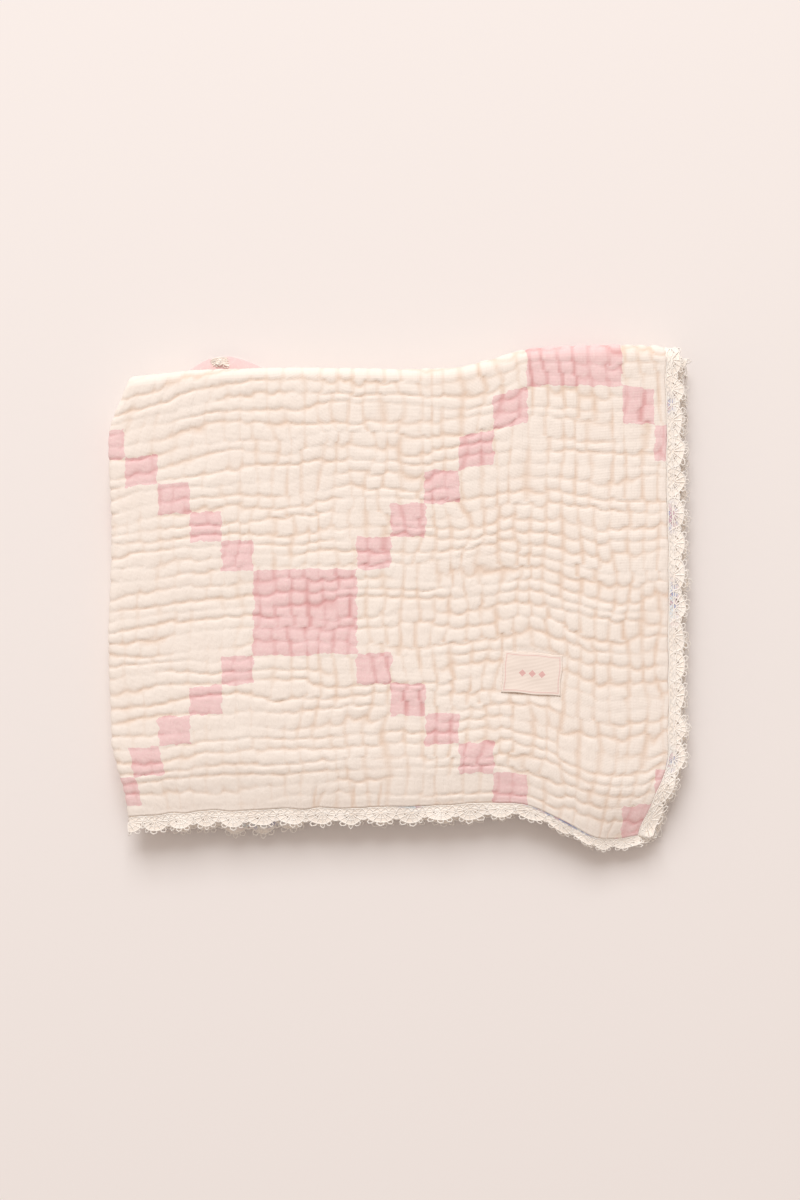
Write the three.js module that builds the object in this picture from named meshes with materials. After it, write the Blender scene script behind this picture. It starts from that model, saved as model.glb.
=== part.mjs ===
// A cotton gauze baby blanket with a printed backing and a scalloped lace edge, folded flat.
// It is folded in half across its width, then back and forth in thirds along its length.
// Millimetres, +Z up. The visible front is uppermost, the lace hems lie at the right (+X) and
// near (-Y) sides, and the folds at the left and far sides.

import * as THREE from 'three';

// The blanket opened out flat
const CLOTH_WIDTH = 800;
const CLOTH_LENGTH = 985;
const FRONT_CORE = 1.0;       // front gauze at the bottom of a crease
const PUFF_HEIGHT = 1.6;      // rise of a crinkle ridge above the crease beside it
const BACKING_THICKNESS = 0.9;
const PIECE_GAP = 0.3;        // front gauze to backing, hem to lace, gauze to label
const RIDGE_PITCH = 9.4;      // crease to crease across the crinkle ridges
const HEM_BAND = 8;           // turned and stitched edge, where the ridges are pressed down
const HEM_BEND = 62;          // stretch beside an open hem in which the cloth sinks

// How it is folded
const LAYER_GAP = 2.0;        // air between one layer and the next
const TOP_THIRD = 332;        // near hem to far fold, the panel that shows
const MIDDLE_THIRD = 316;     // far fold back to near fold
const HEM_Y = -170;           // near hem before the cloth is pulled out of square
const FAR_REACH = 172;        // outside of the far fold before the same
const LEFT_AXIS = -204.9;     // centre of the left fold
const HANG_SHORTENING = 0.38; // lace past the near hem hangs, so it reaches less far from above
const CENTRE_X = -0.74;       // brings the middle of the folded blanket to the origin
const CENTRE_Y = 3.87;

// The lace edge
const LACE_WIDTH = 16;
const LACE_VALLEY = 8.5;      // width of the lace between two scallops
const LACE_THICKNESS = 1.0;
const SCALLOP_PITCH = 21.5;
const LACE_LIFT = 0.6;        // how far the loose lace waves up and down

// The woven label
const LABEL_WIDTH = 42;
const LABEL_HEIGHT = 29.5;
const LABEL_THICKNESS = 0.8;
const LABEL_X = 94.5;
const LABEL_Y = -56.5;
const LABEL_TURN = THREE.MathUtils.degToRad(-4);
const LABEL_PRESS = 0.5;      // ridges under the label are pressed to this share of their rise
const LABEL_PUCKER = 6;       // stretch beside the label in which they stand up again

// The folded outline, read across the blanket from the left fold to the right hem
const OUTLINE = [
  { x: -212, nearHem: -160, farFold: 158 },
  { x: -150, nearHem: -156, farFold: 163.5 },
  { x: -75, nearHem: -154, farFold: 165.5 },
  { x: 35, nearHem: -151.5, farFold: 165 },
  { x: 65, nearHem: -149.5, farFold: 171 },
  { x: 92, nearHem: -152, farFold: 179 },
  { x: 118, nearHem: -163, farFold: 181 },
  { x: 148, nearHem: -175, farFold: 182 },
  { x: 170, nearHem: -177, farFold: 182 },
  { x: 212, nearHem: -172, farFold: 180 },
];

// How far one layer has slipped over the others, each slip strongest at middle (along X)
const LAYER_SLIPS = {
  underHem: [{ by: 6, middle: -150, reach: 110 }, { by: 3, middle: 40, reach: 90 }],
  lastHem: [{ by: 16, middle: -128, reach: 62 }, { by: -3, middle: 200, reach: 260 }],
};
const UNDER_HEM_SLIP = 2;     // the lower half of the doubled cloth lies this much nearer
const SIDE_HEM_SLIP = 2.5;    // and this much further right
const SIDE_HEM_WAVE = { rise: 1.5, length: 88 };

// Stretches over which the stack sinks, as a share of its height. near and right are distances
// from the middle towards that side.
const SINKS = [
  { share: 0.15, near: { from: 128, to: 176 } },
  { share: 0.13, right: { from: 140, to: 200 } },
  { share: 0.16, near: { from: 140, to: 180 }, right: { from: 105, to: 175 } },
];
const HANG = { near: 0.026, right: 0.009 };   // share of height lost for each mm past a hem
const HILLS = [
  { share: 0.02, across: 43, along: 52, phase: 0.6 },
  { share: 0.012, across: 71, along: 38, phase: 2.1 },
];

// Folded corners are drawn in towards the middle of the blanket
const FAR_LEFT_CORNER = { by: 13, from: 122, to: 174 };
const NEAR_LEFT_CORNER = { by: 12, from: 108, to: 172 };
const NEAR_RIGHT_CORNER = { by: 20, near: { from: 112, to: 178 }, right: { from: 110, to: 196 } };
const LEFT_FOLD = { from: -212, to: -110, wave: 1.2, length: 27 };

const MATERIALS = {
  gauze: { color: '#f3e4d6', roughness: 0.95, metalness: 0 },
  backing: { color: '#e9e6ea', roughness: 0.95, metalness: 0 },
  lace: { color: '#eedfc9', roughness: 0.9, metalness: 0 },
  label: { color: '#f5e3d6', roughness: 0.85, metalness: 0 },
};

// Worked out from the sizes above
const HALF_WIDTH = CLOTH_WIDTH / 2;
const SHEET_CORE = FRONT_CORE + PIECE_GAP + BACKING_THICKNESS;
const FRONT_OUTER = SHEET_CORE / 2;
const FRONT_INNER = FRONT_OUTER - FRONT_CORE;
const BACKING_OUTER = FRONT_INNER - PIECE_GAP;
const BACKING_INNER = -SHEET_CORE / 2;
const MEAN_PUFF = PUFF_HEIGHT / 2;
const SIDE_RADIUS = (SHEET_CORE + LAYER_GAP) / 2;
const SIDE_ARC = Math.PI * SIDE_RADIUS / 2;
const DOUBLED_HALF = SIDE_RADIUS + FRONT_OUTER + MEAN_PUFF;
const STACK_RADIUS = DOUBLED_HALF + LAYER_GAP / 2;
const STACK_ARC = Math.PI * STACK_RADIUS;
const TOP_MIDDLE = 4 * STACK_RADIUS + DOUBLED_HALF;
const FAR_AXIS = HEM_Y + TOP_THIRD;
const NEAR_AXIS = FAR_AXIS - MIDDLE_THIRD;
const RIGHT_HEM = LEFT_AXIS + HALF_WIDTH - SIDE_ARC;
const MIDDLE_START = TOP_THIRD + STACK_ARC;
const MIDDLE_END = MIDDLE_START + MIDDLE_THIRD;
const LAST_START = MIDDLE_END + STACK_ARC;

function ease(from, to, value) {
  return THREE.MathUtils.smoothstep(value, from, to);
}

// 1 at the middle of a stretch, falling smoothly to 0 at either side of it
function swell(middle, reach, value) {
  return 1 - ease(0, reach, Math.abs(value - middle));
}

function scatter(index) {
  const wide = Math.sin(index * 127.1 + 311.7) * 43758.5453;
  return wide - Math.floor(wide);
}

// A line of the outline table at x, joined by smooth steps
function outlineAt(x, column) {
  const last = OUTLINE.length - 1;
  if (x <= OUTLINE[0].x) return OUTLINE[0][column];
  if (x >= OUTLINE[last].x) return OUTLINE[last][column];
  const next = OUTLINE.findIndex((row) => row.x > x);
  const before = OUTLINE[Math.max(next - 2, 0)];
  const from = OUTLINE[next - 1];
  const to = OUTLINE[next];
  const after = OUTLINE[Math.min(next + 1, last)];
  const span = to.x - from.x;
  const t = (x - from.x) / span;
  const slopeFrom = (to[column] - before[column]) / (to.x - before.x) * span;
  const slopeTo = (after[column] - from[column]) / (after.x - from.x) * span;
  const t2 = t * t;
  const t3 = t2 * t;
  return (2 * t3 - 3 * t2 + 1) * from[column] + (t3 - 2 * t2 + t) * slopeFrom
    + (3 * t2 - 2 * t3) * to[column] + (t3 - t2) * slopeTo;
}

function slipAt(x, slips) {
  return slips.reduce((sum, slip) => sum + slip.by * swell(slip.middle, slip.reach, x), 0);
}

// The layers have slipped a little over each other. s runs across the cloth from the left fold,
// + on the upper half; v runs along it from the near hem.
function slipped(s, v) {
  const x = Math.abs(s) + LEFT_AXIS;
  const under = ease(0, 60, -s);
  const hemSlip = under * (UNDER_HEM_SLIP + slipAt(x, LAYER_SLIPS.underHem));
  const nearHem = 1 - ease(0, TOP_THIRD, v);
  const lastHem = ease(LAST_START, CLOTH_LENGTH, v);
  const wave = SIDE_HEM_WAVE.rise * Math.sin(v / SIDE_HEM_WAVE.length + (s > 0 ? 0 : 2));
  const sideSlip = (s > 0 ? 0 : SIDE_HEM_SLIP) + wave;
  const outwards = (Math.abs(s) / HALF_WIDTH) ** 3;
  const slippedV = v - hemSlip * nearHem + slipAt(x, LAYER_SLIPS.lastHem) * lastHem;
  return [s + Math.sign(s) * sideSlip * outwards, slippedV];
}

// First fold, in half round the left edge. d is measured outwards from the middle of the sheet.
function foldInHalf(s, d) {
  const radius = SIDE_RADIUS + d;
  if (Math.abs(s) < SIDE_ARC) {
    const angle = s / SIDE_RADIUS;
    return [LEFT_AXIS - radius * Math.cos(angle), radius * Math.sin(angle)];
  }
  return [LEFT_AXIS + Math.abs(s) - SIDE_ARC, Math.sign(s) * radius];
}

// Second fold, back and forth in thirds. h is the height over the middle of the doubled cloth.
function foldInThirds(v, h) {
  if (v <= TOP_THIRD) return [HEM_Y + v, TOP_MIDDLE + h];
  if (v < MIDDLE_START) {
    const angle = (v - TOP_THIRD) / STACK_RADIUS;
    const radius = STACK_RADIUS + h;
    return [FAR_AXIS + radius * Math.sin(angle), TOP_MIDDLE - STACK_RADIUS + radius * Math.cos(angle)];
  }
  if (v <= MIDDLE_END) {
    return [FAR_AXIS - (v - MIDDLE_START), TOP_MIDDLE - 2 * STACK_RADIUS - h];
  }
  if (v < LAST_START) {
    const angle = (v - MIDDLE_END) / STACK_RADIUS;
    const radius = STACK_RADIUS - h;
    return [NEAR_AXIS - radius * Math.sin(angle), TOP_MIDDLE - 3 * STACK_RADIUS + radius * Math.cos(angle)];
  }
  return [NEAR_AXIS + (v - LAST_START), TOP_MIDDLE - 4 * STACK_RADIUS + h];
}

// How far a point lies into a stretch, 0 before it and 1 past it
function into(stretch, value) {
  return stretch ? ease(stretch.from, stretch.to, value) : 1;
}

// Share of its full height at which the stack stands: it sinks towards the open hems and most
// at the near right corner
function fullness(x, y) {
  const sunk = SINKS.reduce((sum, sink) => sum + sink.share * into(sink.near, -y) * into(sink.right, x), 0);
  const hang = HANG.near * Math.max(HEM_Y - y, 0) + HANG.right * Math.max(x - RIGHT_HEM, 0);
  const hills = HILLS.reduce((sum, hill) => (
    sum + hill.share * Math.sin(x / hill.across + hill.phase) * Math.sin(y / hill.along - hill.phase)), 0);
  return 1 - sunk - hang + hills;
}

// A point of the cloth, d outwards from the middle of its thickness, where it lies in the stack
function place(s, v, d) {
  const [slipS, slipV] = slipped(s, v);
  const [x, h] = foldInHalf(slipS, d);
  const [y, z] = foldInThirds(slipV, h);
  const near = outlineAt(x, 'nearHem');
  const far = outlineAt(x, 'farFold');
  const drawnIn = y + HANG_SHORTENING * Math.max(HEM_Y - y, 0);
  const pulledY = near + (drawnIn - HEM_Y) / (FAR_REACH - HEM_Y) * (far - near);
  const leftPull = FAR_LEFT_CORNER.by * into(FAR_LEFT_CORNER, y)
    + NEAR_LEFT_CORNER.by * into(NEAR_LEFT_CORNER, -y)
    + LEFT_FOLD.wave * Math.sin(y / LEFT_FOLD.length);
  const rightPull = NEAR_RIGHT_CORNER.by * into(NEAR_RIGHT_CORNER.near, -y)
    * into(NEAR_RIGHT_CORNER.right, x);
  const pulledX = x + leftPull * (1 - into(LEFT_FOLD, x)) - rightPull;
  return [pulledX + CENTRE_X, pulledY + CENTRE_Y, z * fullness(x, y)];
}

// A closed body gathered vertex by vertex, and sewn together along pairs of edges
class Body {
  constructor() {
    this.points = [];
    this.faces = [];
  }

  add(point) {
    this.points.push(...point);
    return this.points.length / 3 - 1;
  }

  vertex(s, v, d) {
    return this.add(place(s, v, d));
  }

  triangle(a, b, c, turned) {
    if (turned) this.faces.push(a, c, b);
    else this.faces.push(a, b, c);
  }

  // Joins two lines of vertices, each { at, id } with at rising, by a strip of triangles
  strip(lower, upper, turned) {
    let i = 0;
    let j = 0;
    while (i < lower.length - 1 || j < upper.length - 1) {
      const lowerNext = i < lower.length - 1 ? lower[i + 1].at : Infinity;
      const upperNext = j < upper.length - 1 ? upper[j + 1].at : Infinity;
      if (lowerNext <= upperNext) {
        this.triangle(lower[i].id, lower[i + 1].id, upper[j].id, turned);
        i += 1;
      } else {
        this.triangle(lower[i].id, upper[j + 1].id, upper[j].id, turned);
        j += 1;
      }
    }
  }

  grid(rows, turned) {
    for (let r = 0; r + 1 < rows.length; r += 1) this.strip(rows[r], rows[r + 1], turned);
  }

  geometry() {
    const geometry = new THREE.BufferGeometry();
    geometry.setAttribute('position', new THREE.Float32BufferAttribute(this.points, 3));
    geometry.setIndex(this.faces);
    return geometry;
  }
}

function namedMesh(name, body, finish) {
  const mesh = new THREE.Mesh(body.geometry(), new THREE.MeshStandardMaterial(finish));
  mesh.name = name;
  return mesh;
}

// Stops between two places, evenly spaced and no further apart than step
function stops(from, to, step) {
  const count = Math.ceil(Math.abs(to - from) / step);
  return Array.from({ length: count }, (_, index) => from + (to - from) * index / count);
}

// Where the label is sewn, as cloth coordinates of its own a (across) and b (along) axes
function labelPoint(a, b) {
  const x = LABEL_X + a * Math.cos(LABEL_TURN) - b * Math.sin(LABEL_TURN);
  const y = LABEL_Y + a * Math.sin(LABEL_TURN) + b * Math.cos(LABEL_TURN);
  const near = outlineAt(x, 'nearHem');
  const far = outlineAt(x, 'farFold');
  const v = (y - near) / (far - near) * (FAR_REACH - HEM_Y);
  return [x - LEFT_AXIS + SIDE_ARC, v];
}

const LABEL_CENTRE = labelPoint(0, 0);
const LABEL_ACROSS = LABEL_WIDTH / 2 + 3;
const LABEL_ALONG = LABEL_HEIGHT / 2 + 6;

// 1 under the label and its stitching, 0 where the ridges stand free again
function pressedByLabel(s, v) {
  const across = 1 - ease(LABEL_ACROSS, LABEL_ACROSS + LABEL_PUCKER, Math.abs(s - LABEL_CENTRE[0]));
  const along = 1 - ease(LABEL_ALONG, LABEL_ALONG + LABEL_PUCKER, Math.abs(v - LABEL_CENTRE[1]));
  return across * along;
}

// Columns across the cloth: the left fold, then the upper half out to its hem. The lower half has
// the same ones mirrored, but for the narrow ones beside the label.
const FOLD_COLUMNS = stops(-SIDE_ARC, SIDE_ARC, SIDE_ARC / 2);
const UPPER_COLUMNS = [
  SIDE_ARC,
  ...stops(14, LABEL_CENTRE[0] - LABEL_ACROSS - LABEL_PUCKER, 27),
  LABEL_CENTRE[0] - LABEL_ACROSS - LABEL_PUCKER,
  ...stops(LABEL_CENTRE[0] - LABEL_ACROSS, LABEL_CENTRE[0] + LABEL_ACROSS, LABEL_ACROSS),
  LABEL_CENTRE[0] + LABEL_ACROSS,
  ...stops(LABEL_CENTRE[0] + LABEL_ACROSS + LABEL_PUCKER, HALF_WIDTH - HEM_BAND, 20),
  HALF_WIDTH - HEM_BAND,
  HALF_WIDTH,
];
const NARROW = LABEL_PUCKER + 0.01;
const WIDE_COLUMNS = UPPER_COLUMNS.filter((s, index) => index > 0 && s - UPPER_COLUMNS[index - 1] > NARROW);
const LOWER_COLUMNS = WIDE_COLUMNS.map((s) => -s).reverse();
const VISIBLE_COLUMNS = [...FOLD_COLUMNS, ...UPPER_COLUMNS];
const ALL_COLUMNS = [...LOWER_COLUMNS, ...VISIBLE_COLUMNS];

// Rows along the cloth where nothing but the folds shapes it, closer together near the hems
const FAR_FOLD_ROWS = stops(TOP_THIRD, MIDDLE_START, STACK_ARC / 5);
const NEAR_FOLD_ROWS = stops(MIDDLE_END, LAST_START, STACK_ARC / 5);
const HIDDEN_ROWS = [
  0,
  ...stops(HEM_BAND, HEM_BEND, 18),
  ...stops(HEM_BEND, TOP_THIRD, 90),
  ...FAR_FOLD_ROWS,
  ...stops(MIDDLE_START, MIDDLE_END - HEM_BEND, 127),
  ...stops(MIDDLE_END - HEM_BEND, MIDDLE_END, 31),
  ...NEAR_FOLD_ROWS,
  ...stops(LAST_START, LAST_START + HEM_BEND, 31),
  ...stops(LAST_START + HEM_BEND, CLOTH_LENGTH, 90),
  CLOTH_LENGTH,
];

// Crinkle rows of the panel that shows: a narrow crease, then the two shoulders of a puffy ridge
const SHOULDERS = [
  { share: 0, rise: 0.05 },
  { share: 0.3, rise: 1 },
  { share: 0.7, rise: 0.92 },
];

function crinkleRows() {
  const rows = [];
  const ridges = Math.round((TOP_THIRD - HEM_BAND) / RIDGE_PITCH);
  const pitch = (TOP_THIRD - HEM_BAND) / ridges;
  rows.push({ v: 0, rise: 0.35, ridge: 0 });
  for (let ridge = 0; ridge < ridges; ridge += 1) {
    const uneven = pitch * 0.16 * (scatter(ridge) - 0.5);
    for (const { share, rise } of SHOULDERS) {
      rows.push({ v: HEM_BAND + pitch * (ridge + share) + uneven, rise, ridge });
    }
  }
  return rows;
}

// Ridges wander a few millimetres up and down the cloth, and swell and fade along their length
function wander(s, v) {
  const alongFree = ease(0, 40, v) * (1 - ease(TOP_THIRD - 40, TOP_THIRD - 4, v));
  const free = alongFree * (1 - ease(360, HALF_WIDTH, s));
  return free * (1.9 * Math.sin(s / 37 + v / 58) + 1.2 * Math.sin(s / 17.3 - v / 41 + 1.3));
}

// Share of a ridge's full rise at a place along it
function unevenness(s, ridge) {
  const own = scatter(ridge + 40) * 2 * Math.PI;
  return 0.74 + 0.15 * Math.sin(s / 13.1 + own) + 0.11 * Math.sin(s / 29.7 - 2.2 * own);
}

function puffAt(s, v, row) {
  const sideHem = 1 - 0.55 * ease(HALF_WIDTH - 2 * HEM_BAND, HALF_WIDTH, s);
  const rise = PUFF_HEIGHT * row.rise * unevenness(s, row.ridge) * sideHem;
  const press = pressedByLabel(s, v);
  return rise * (1 - press) + Math.min(rise, PUFF_HEIGHT * LABEL_PRESS) * press;
}

// One smooth face of the cloth at depth d, a row of vertices for each stop along it
function smoothFace(body, columns, rowStops, d) {
  return rowStops.map((v) => columns.map((s) => ({ at: s, id: body.vertex(s, v, d) })));
}

// The first (end 0) or last (end -1) vertex of each row, as a line along the cloth
function sideLine(rows, rowStops, end) {
  return rows.map((row, index) => ({ at: rowStops[index], id: row.at(end).id }));
}

// The cut edges all round, between a face's inner rows and its outer ones
function closeEdges(body, inner, innerStops, outer) {
  body.strip(inner[0], outer.near, false);
  body.strip(inner.at(-1), outer.far, true);
  body.strip(sideLine(inner, innerStops, 0), outer.left, true);
  body.strip(sideLine(inner, innerStops, -1), outer.right, false);
}

function frontGauze() {
  const body = new Body();
  const crinkles = crinkleRows();
  const plainStops = HIDDEN_ROWS.filter((v) => v >= TOP_THIRD);
  const crinkled = crinkles.map((row) => VISIBLE_COLUMNS.map((s) => {
    const v = row.v + wander(s, row.v);
    return { at: s, id: body.vertex(s, v, FRONT_OUTER + puffAt(s, v, row)) };
  }));
  const plain = smoothFace(body, VISIBLE_COLUMNS, plainStops, FRONT_OUTER + MEAN_PUFF);
  const upper = [...crinkled, ...plain];
  const upperStops = [...crinkles.map((row) => row.v), ...plainStops];
  const lower = smoothFace(body, LOWER_COLUMNS, HIDDEN_ROWS, FRONT_OUTER + MEAN_PUFF);
  const inner = smoothFace(body, ALL_COLUMNS, HIDDEN_ROWS, FRONT_INNER);
  body.grid(upper, false);
  body.grid(lower, false);
  body.grid(inner, true);
  body.strip(sideLine(lower, HIDDEN_ROWS, -1), sideLine(upper, upperStops, 0), true);
  closeEdges(body, inner, HIDDEN_ROWS, {
    near: [...lower[0], ...upper[0]],
    far: [...lower.at(-1), ...upper.at(-1)],
    left: sideLine(lower, HIDDEN_ROWS, 0),
    right: sideLine(upper, upperStops, -1),
  });
  return namedMesh('front_gauze', body, MATERIALS.gauze);
}

function printedBacking() {
  const body = new Body();
  const outer = smoothFace(body, ALL_COLUMNS, HIDDEN_ROWS, BACKING_OUTER);
  const inner = smoothFace(body, ALL_COLUMNS, HIDDEN_ROWS, BACKING_INNER);
  body.grid(outer, false);
  body.grid(inner, true);
  closeEdges(body, inner, HIDDEN_ROWS, {
    near: outer[0],
    far: outer.at(-1),
    left: sideLine(outer, HIDDEN_ROWS, 0),
    right: sideLine(outer, HIDDEN_ROWS, -1),
  });
  return namedMesh('printed_backing', body, MATERIALS.backing);
}

// The four hems in the order the lace follows them: where each starts, which way it runs and
// which way is outwards, in cloth coordinates
const HEMS = [
  { s: HALF_WIDTH, v: 0, alongS: -1, alongV: 0, outS: 0, outV: -1, length: CLOTH_WIDTH },
  { s: -HALF_WIDTH, v: 0, alongS: 0, alongV: 1, outS: -1, outV: 0, length: CLOTH_LENGTH },
  { s: -HALF_WIDTH, v: CLOTH_LENGTH, alongS: 1, alongV: 0, outS: 0, outV: 1, length: CLOTH_WIDTH },
  { s: HALF_WIDTH, v: CLOTH_LENGTH, alongS: 0, alongV: -1, outS: 1, outV: 0, length: CLOTH_LENGTH },
];
const SCALLOP_SHOULDER = 0.28;
const SEAM_CLEAR = 3;         // least distance between two points along the lace's seam side
const STACK_FOLDS = [...FAR_FOLD_ROWS, MIDDLE_START, ...NEAR_FOLD_ROWS, LAST_START];
const LEFT_FOLDS = [...FOLD_COLUMNS, SIDE_ARC];

// Width of the lace at a distance along a hem that holds whole scallops
function laceWidth(along, pitch) {
  const share = (along / pitch) % 1;
  const climb = Math.min(1, Math.min(share, 1 - share) / SCALLOP_SHOULDER);
  return LACE_VALLEY + (LACE_WIDTH - LACE_VALLEY) * climb;
}

// Distances along a hem at which the cloth's own edge has a vertex
function clothStops(hem) {
  const edge = hem.alongS === 0 ? HIDDEN_ROWS : ALL_COLUMNS;
  const start = hem.alongS === 0 ? hem.v : hem.s;
  return edge.map((stop) => Math.abs(stop - start)).sort((a, b) => a - b);
}

// Distances along a hem at the corners of each scallop, and at the folds that the hem crosses
function scallopStops(hem, pitch) {
  const corners = [0, SCALLOP_SHOULDER, 1 - SCALLOP_SHOULDER];
  const count = Math.round(hem.length / pitch);
  const own = Array.from({ length: count * 3 }, (_, n) => (Math.floor(n / 3) + corners[n % 3]) * pitch);
  const crossed = hem.alongS === 0 ? STACK_FOLDS : LEFT_FOLDS;
  const folds = crossed.map((stop) => Math.abs(stop - (hem.alongS === 0 ? hem.v : hem.s)));
  const clear = own.filter((stop) => folds.every((fold) => Math.abs(fold - stop) > 1.2));
  return [...clear, ...folds].sort((a, b) => a - b);
}

// A point of the lace at a distance along hem number index, out from the hem and up by lift. At
// either end of a hem the lace is mitred to the next one.
function lacePoint(index, along, out, lift) {
  const hem = HEMS[index];
  const before = HEMS[(index + HEMS.length - 1) % HEMS.length];
  const after = HEMS[(index + 1) % HEMS.length];
  const starts = along === 0 ? 1 : 0;
  const ends = along === hem.length ? 1 : 0;
  const outS = hem.outS + starts * before.outS + ends * after.outS;
  const outV = hem.outV + starts * before.outV + ends * after.outV;
  return place(hem.s + hem.alongS * along + outS * out, hem.v + hem.alongV * along + outV * out, lift);
}

// The seam side of the lace keeps to the straight stretches of the cloth's own edge, with a point
// for each scallop on them
function seamPoints(index, pitch, lift) {
  const corners = clothStops(HEMS[index]);
  const points = [];
  for (let n = 0; n + 1 < corners.length; n += 1) {
    const from = lacePoint(index, corners[n], PIECE_GAP, lift);
    const to = lacePoint(index, corners[n + 1], PIECE_GAP, lift);
    points.push({ along: corners[n], point: from });
    const first = Math.ceil((corners[n] + SEAM_CLEAR) / pitch);
    for (let along = first * pitch; along < corners[n + 1] - SEAM_CLEAR; along += pitch) {
      const share = (along - corners[n]) / (corners[n + 1] - corners[n]);
      points.push({ along, point: from.map((value, axis) => value + share * (to[axis] - value)) });
    }
  }
  return points;
}

function laceTrim() {
  const body = new Body();
  const inner = { top: [], under: [] };
  const outer = { top: [], under: [] };
  let start = 0;
  HEMS.forEach((hem, index) => {
    const pitch = hem.length / Math.round(hem.length / SCALLOP_PITCH);
    for (const [face, half] of [['top', LACE_THICKNESS / 2], ['under', -LACE_THICKNESS / 2]]) {
      for (const { along, point } of seamPoints(index, pitch, half)) {
        inner[face].push({ at: start + along, id: body.add(point) });
      }
      for (const along of scallopStops(hem, pitch)) {
        const wave = LACE_LIFT * Math.sin((start + along) / SCALLOP_PITCH * 2.1);
        const point = lacePoint(index, along, laceWidth(along, pitch), half + wave);
        outer[face].push({ at: start + along, id: body.add(point) });
      }
    }
    start += hem.length;
  });
  const closed = (line) => [...line, { at: start, id: line[0].id }];
  body.strip(closed(inner.top), closed(outer.top), false);
  body.strip(closed(inner.under), closed(outer.under), true);
  body.strip(closed(outer.top), closed(outer.under), false);
  body.strip(closed(inner.top), closed(inner.under), true);
  return namedMesh('lace_trim', body, MATERIALS.lace);
}

function wovenLabel() {
  const body = new Body();
  const across = [...stops(-LABEL_WIDTH / 2, LABEL_WIDTH / 2, 7), LABEL_WIDTH / 2];
  const along = [...stops(-LABEL_HEIGHT / 2, LABEL_HEIGHT / 2, 7.4), LABEL_HEIGHT / 2];
  const seat = FRONT_OUTER + PUFF_HEIGHT * LABEL_PRESS + PIECE_GAP;
  const point = (a, b, d) => ({ at: a, id: body.vertex(...labelPoint(a, b), d) });
  const face = (d) => along.map((b) => across.map((a) => point(a, b, d)));
  const top = face(seat + LABEL_THICKNESS);
  const under = face(seat);
  body.grid(top, false);
  body.grid(under, true);
  closeEdges(body, under, along, {
    near: top[0],
    far: top.at(-1),
    left: sideLine(top, along, 0),
    right: sideLine(top, along, -1),
  });
  return namedMesh('woven_label', body, MATERIALS.label);
}

const blanket = new THREE.Group();
blanket.name = 'folded_gauze_blanket';
blanket.add(frontGauze(), printedBacking(), laceTrim(), wovenLabel());

export default blanket;
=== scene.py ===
# A folded cotton gauze baby blanket: crinkled front with woven pink squares, printed backing,
# scalloped cotton lace round the hems and a small woven label.
import math

import bmesh
import bpy
import numpy as np
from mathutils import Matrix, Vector


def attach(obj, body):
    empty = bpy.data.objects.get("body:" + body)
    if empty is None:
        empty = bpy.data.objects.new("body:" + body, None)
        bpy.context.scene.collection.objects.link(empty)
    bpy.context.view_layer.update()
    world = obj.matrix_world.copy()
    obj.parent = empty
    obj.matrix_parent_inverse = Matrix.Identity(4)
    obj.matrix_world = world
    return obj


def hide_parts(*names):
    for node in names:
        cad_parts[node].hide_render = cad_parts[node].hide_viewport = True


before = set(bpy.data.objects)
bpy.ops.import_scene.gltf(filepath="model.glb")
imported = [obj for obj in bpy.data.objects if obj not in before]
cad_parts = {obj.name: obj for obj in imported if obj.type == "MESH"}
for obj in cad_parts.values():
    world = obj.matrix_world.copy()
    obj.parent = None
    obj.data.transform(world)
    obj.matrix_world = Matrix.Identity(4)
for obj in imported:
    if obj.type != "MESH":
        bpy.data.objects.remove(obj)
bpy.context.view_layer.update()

MM = 0.001

# The blanket opened out flat, in millimetres
CLOTH_WIDTH = 800.0
CLOTH_LENGTH = 985.0
FRONT_CORE = 1.0
PUFF_HEIGHT = 1.6
PRESSED_PUFF = 0.65                 # what the label's stitches leave of a puff
BACKING_THICKNESS = 0.9
BACKING_SETBACK = 0.5               # the backing ends this far inside the hems
PIECE_GAP = 0.3
HEM_ROLL = 0.75
HEM_UNDER = 3.0                     # how far a rolled hem reaches back under itself

# The crinkle: ridges across the cloth, cut into cells by lines along it. The ridges wander by
# so much, in waves so long across and along, each with its own layer of noise.
RIDGE_PITCH = 10.0
CELL_WIDTH = 11.6
RIDGE_WANDER = [(6, 85, 58, 0), (9.6, 46, 12.5, 1), (2.0, 8, 12, 2), (1.0, 3.7, 9, 15)]
LEFT_LEAN = 6                       # how far the ridges lean towards the left fold
FAR_LEFT_LEAN = 10
CELL_STEP = 0.55                    # neighbouring cells lie out of step, in ridges
CELL_BOW = 0.22                     # a ridge bows between two lines, in ridges
GROOVE_WIDTH = 1.6
TUCK_WIDTH = 1.3
HEM_TUCKS = (145.6, 173.6, 192.4)   # short creases square to the near hem

# How it is folded: in half round the left edge, then in thirds
LAYER_GAP = 2.0
TOP_THIRD = 332.0
MIDDLE_THIRD = 316.0
HEM_Y = -170.0
FAR_REACH = 172.0
LEFT_AXIS = -204.9
HANG_SHORTENING = 0.38
CENTRE_X = -0.74
CENTRE_Y = 3.87

# The folded outline across the blanket: x, near hem, far fold
OUTLINE = np.array([
    (-212, -160, 158), (-150, -156, 163.5), (-75, -154, 165.5), (35, -151.5, 165), (65, -149.5, 171),
    (92, -152, 179), (118, -163, 181), (148, -175, 182), (170, -177, 182), (212, -172, 180)])

# The corners are drawn in by so much over a stretch of y, and fully at the end of a stretch of x
FAR_LEFT_PULL = (13, 122, 174)
NEAR_LEFT_PULL = (12, 108, 172)
NEAR_RIGHT_PULL = (20, 112, 178)
LEFT_STRETCH = (-212, -110)
RIGHT_STRETCH = (110, 196)
LEFT_WAVE = (1.2, 27)

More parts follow.
